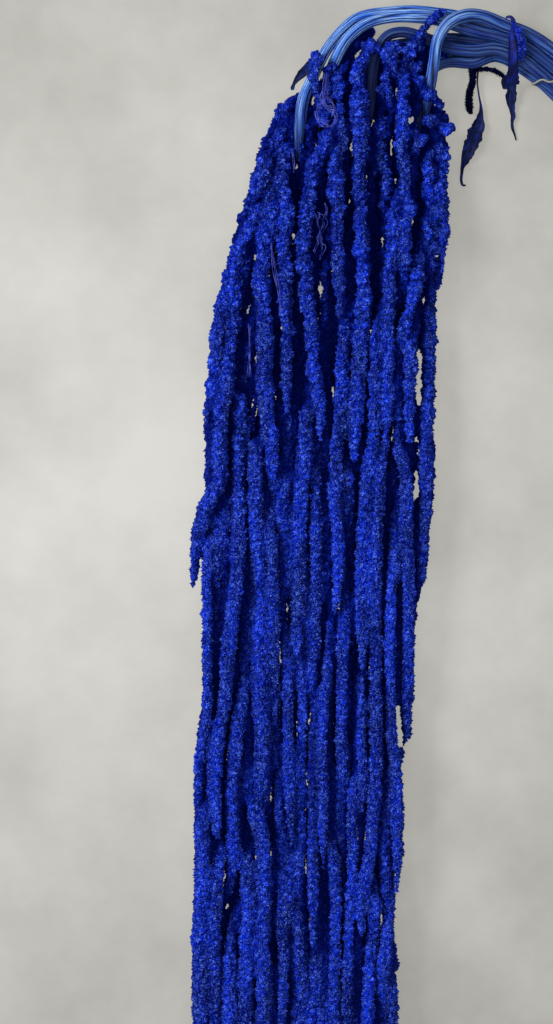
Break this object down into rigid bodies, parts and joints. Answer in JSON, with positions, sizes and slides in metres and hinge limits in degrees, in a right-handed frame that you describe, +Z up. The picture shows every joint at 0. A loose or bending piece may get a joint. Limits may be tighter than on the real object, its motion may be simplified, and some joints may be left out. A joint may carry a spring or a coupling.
{
  "type": "amaranth seed head bunch",
  "caption": "Tied bunch of dried hanging amaranth dyed blue: ribbed stems arch over at the crown and each ends in a long seed head of trailing tassels, laid on its back.",
  "frame": {"origin": "on the surface that the bunch lies on, under the centre of its bounding box", "axes": "+Z up off the surface, towards the front of the bunch; +Y towards the crown of the arched stems, so the tassels trail along -Y; +X towards the side where the tied stem ends lie"},
  "size_m": [0.3888, 0.9468, 0.0367],
  "materials": {
    "tassel": "matt, finely knobbly dyed florets",
    "stem": "satin, lengthwise ribbed, dyed",
    "leaf": "matt, dried and dyed",
    "string": "matt twine"
  },
  "bodies": {
    "root": {"stem_outer": "stem", "stem_inner": "stem", "stem_rear": "stem", "stem_centre": "stem", "stem_front": "stem", "stem_lower": "stem", "seed_head_outer": "tassel", "seed_head_inner": "tassel", "seed_head_rear": "tassel", "seed_head_centre": "tassel", "seed_head_front": "tassel", "seed_head_lower": "tassel", "dried_leaf_hanging": "leaf", "dried_leaf_draped": "leaf", "dried_leaf_jutting": "leaf", "sprig_hanging": "tassel", "sprig_draped": "tassel", "string_tie": "string"}
  },
  "joints": []
}
